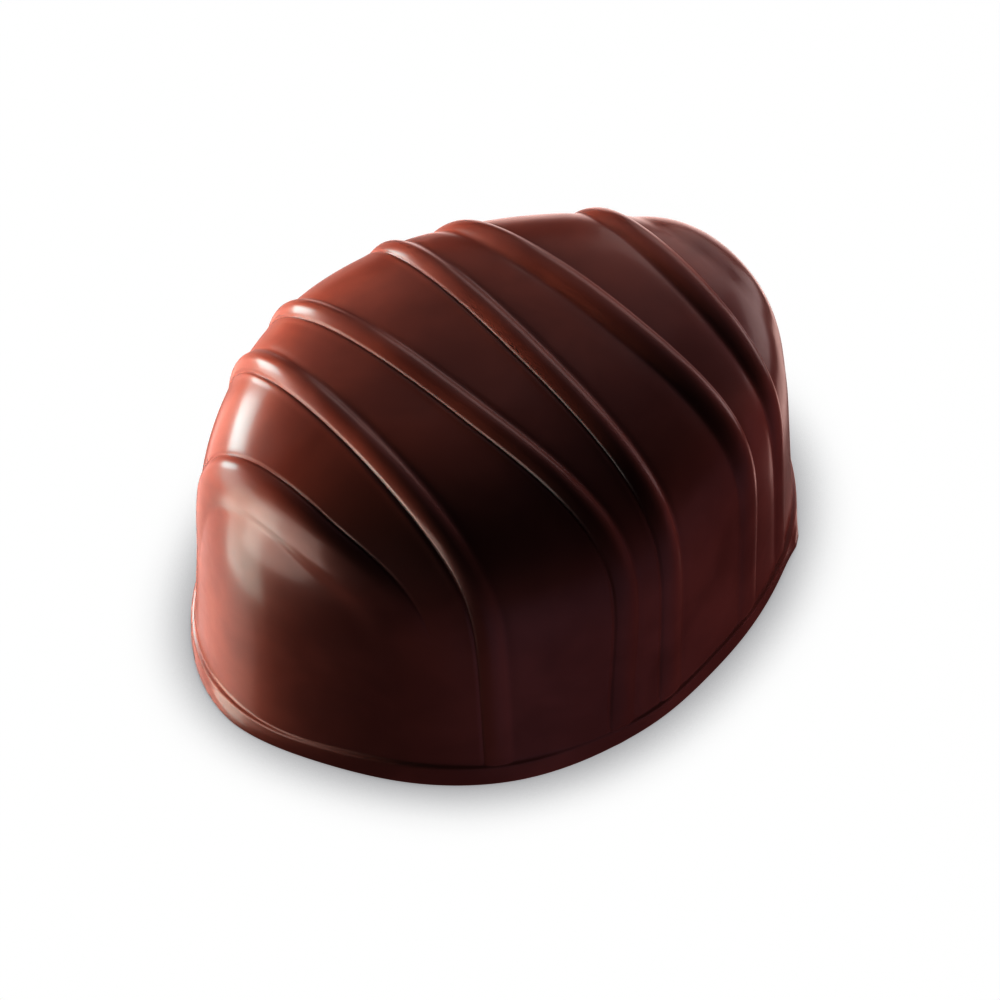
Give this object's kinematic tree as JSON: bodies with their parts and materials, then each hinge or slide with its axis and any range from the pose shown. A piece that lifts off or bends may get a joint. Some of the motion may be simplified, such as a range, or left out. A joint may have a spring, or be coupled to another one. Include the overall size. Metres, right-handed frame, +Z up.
{
  "type": "chocolate bonbon",
  "caption": "Dark chocolate bonbon: an uneven oval dome with a flat base, a thin foot round it and raised ribs that cross its top from side to side.",
  "frame": {"origin": "middle of the flat base, where the bonbon rests", "axes": "+X along the length, towards the slightly narrower end; +Y across, the way the ribs run; +Z up"},
  "size_m": [0.0358, 0.028, 0.0176],
  "materials": {
    "dark_chocolate": "satin dark chocolate"
  },
  "bodies": {
    "root": {"bonbon": "dark_chocolate"}
  },
  "joints": []
}
